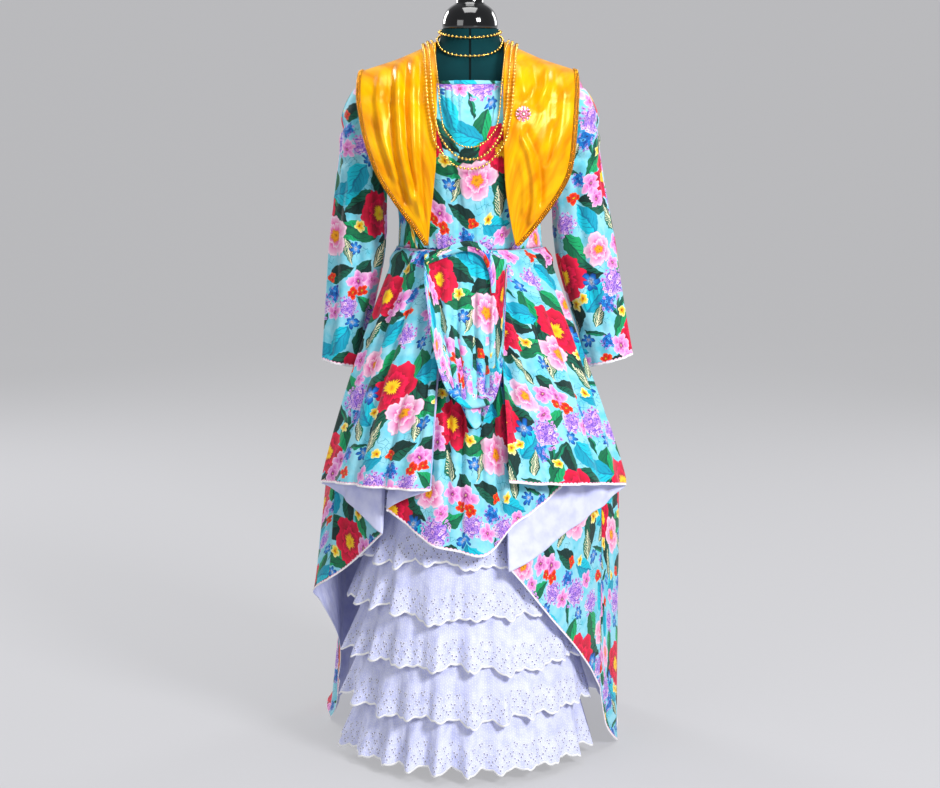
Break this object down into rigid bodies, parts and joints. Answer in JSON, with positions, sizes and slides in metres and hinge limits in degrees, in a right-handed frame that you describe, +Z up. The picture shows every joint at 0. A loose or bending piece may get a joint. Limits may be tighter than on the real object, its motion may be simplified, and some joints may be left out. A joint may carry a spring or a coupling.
{
  "type": "wob dwiyet gala dress on a limbless dress form",
  "caption": "Creole gala dress on a limbless form: hitched printed gown with a train over a flounced eyelet petticoat, satin shoulder scarf, brooch and bead strands.",
  "frame": {"origin": "centre of the stand foot's flat underside, on the floor", "axes": "+Z up, the front faces -Y, +X is the wearer's left"},
  "size_m": [0.6767, 0.8281, 1.612],
  "materials": {
    "jersey": "matt stretch cover",
    "gloss": "gloss black",
    "steel": "bright",
    "print": "printed cotton, flowers on light aqua",
    "eyelet": "white eyelet cotton",
    "satin": "yellow gold satin",
    "gilt": "gilt"
  },
  "bodies": {
    "root": {"form_foot": "gloss", "form_pole": "steel", "form_torso": "jersey", "form_neck_cap": "gloss", "bodice_front": "print", "bodice_back": "print", "neckband": "print", "sleeve_left": "print", "sleeve_right": "print", "skirt_front": "print", "skirt_right": "print", "skirt_left": "print", "skirt_back": "print", "front_loop": "print", "front_loop_under": "print", "tuck_roll": "print", "petticoat_body": "eyelet", "flounce_1": "eyelet", "flounce_2": "eyelet", "flounce_3": "eyelet", "flounce_4": "eyelet", "flounce_5": "eyelet", "flounce_6": "eyelet", "scarf": "satin", "braid": "gilt", "strand_1": "gilt", "strand_2": "gilt", "strand_3": "gilt", "strand_4": "gilt", "strand_5": "gilt", "brooch": "gilt"}
  },
  "joints": []
}
